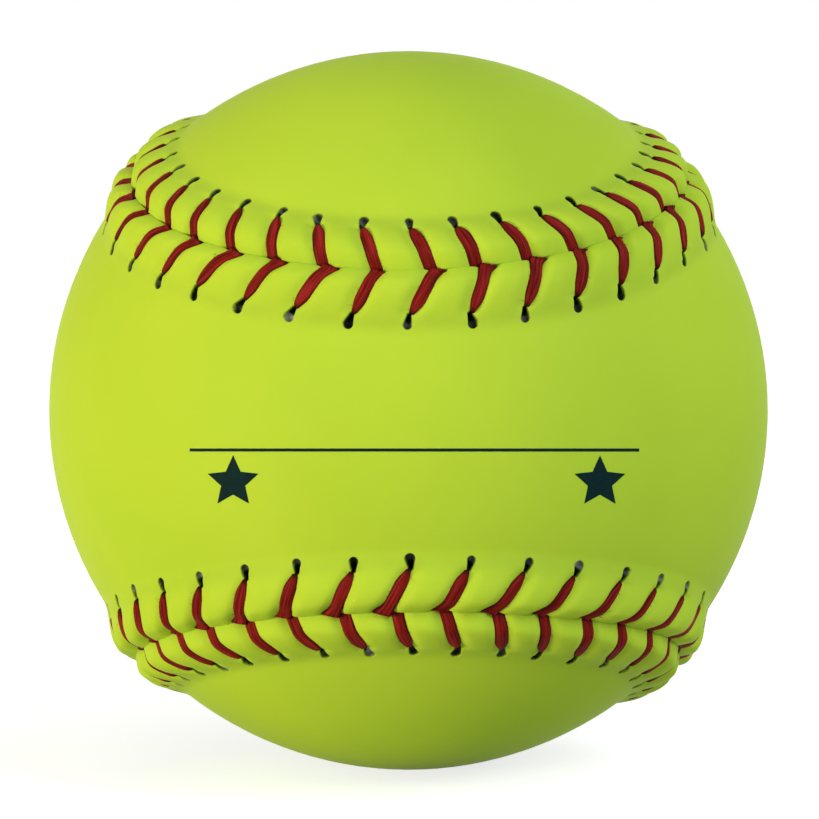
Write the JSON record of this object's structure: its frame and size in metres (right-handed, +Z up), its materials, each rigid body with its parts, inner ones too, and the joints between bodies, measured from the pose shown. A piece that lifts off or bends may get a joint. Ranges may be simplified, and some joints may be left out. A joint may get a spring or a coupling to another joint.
{
  "type": "softball",
  "caption": "Small softball: soft core in a two-piece optic yellow cover with a raised seam sewn in red thread.",
  "frame": {"origin": "centre of the ball", "axes": "+Z up as in the picture, -Y towards the viewer through the waist of the front panel, +X to the viewer's right"},
  "size_m": [0.0808, 0.0808, 0.0808],
  "materials": {
    "core_foam": "matt sponge",
    "cement": "dull dried cement",
    "cover": "satin synthetic leather, optic yellow",
    "thread": "waxed multi-filament, red"
  },
  "bodies": {
    "root": {"core": "core_foam", "cement_coat": "cement", "front_panel": "cover", "rear_panel": "cover", "stitch_thread_a": "thread", "stitch_thread_b": "thread"}
  },
  "joints": []
}
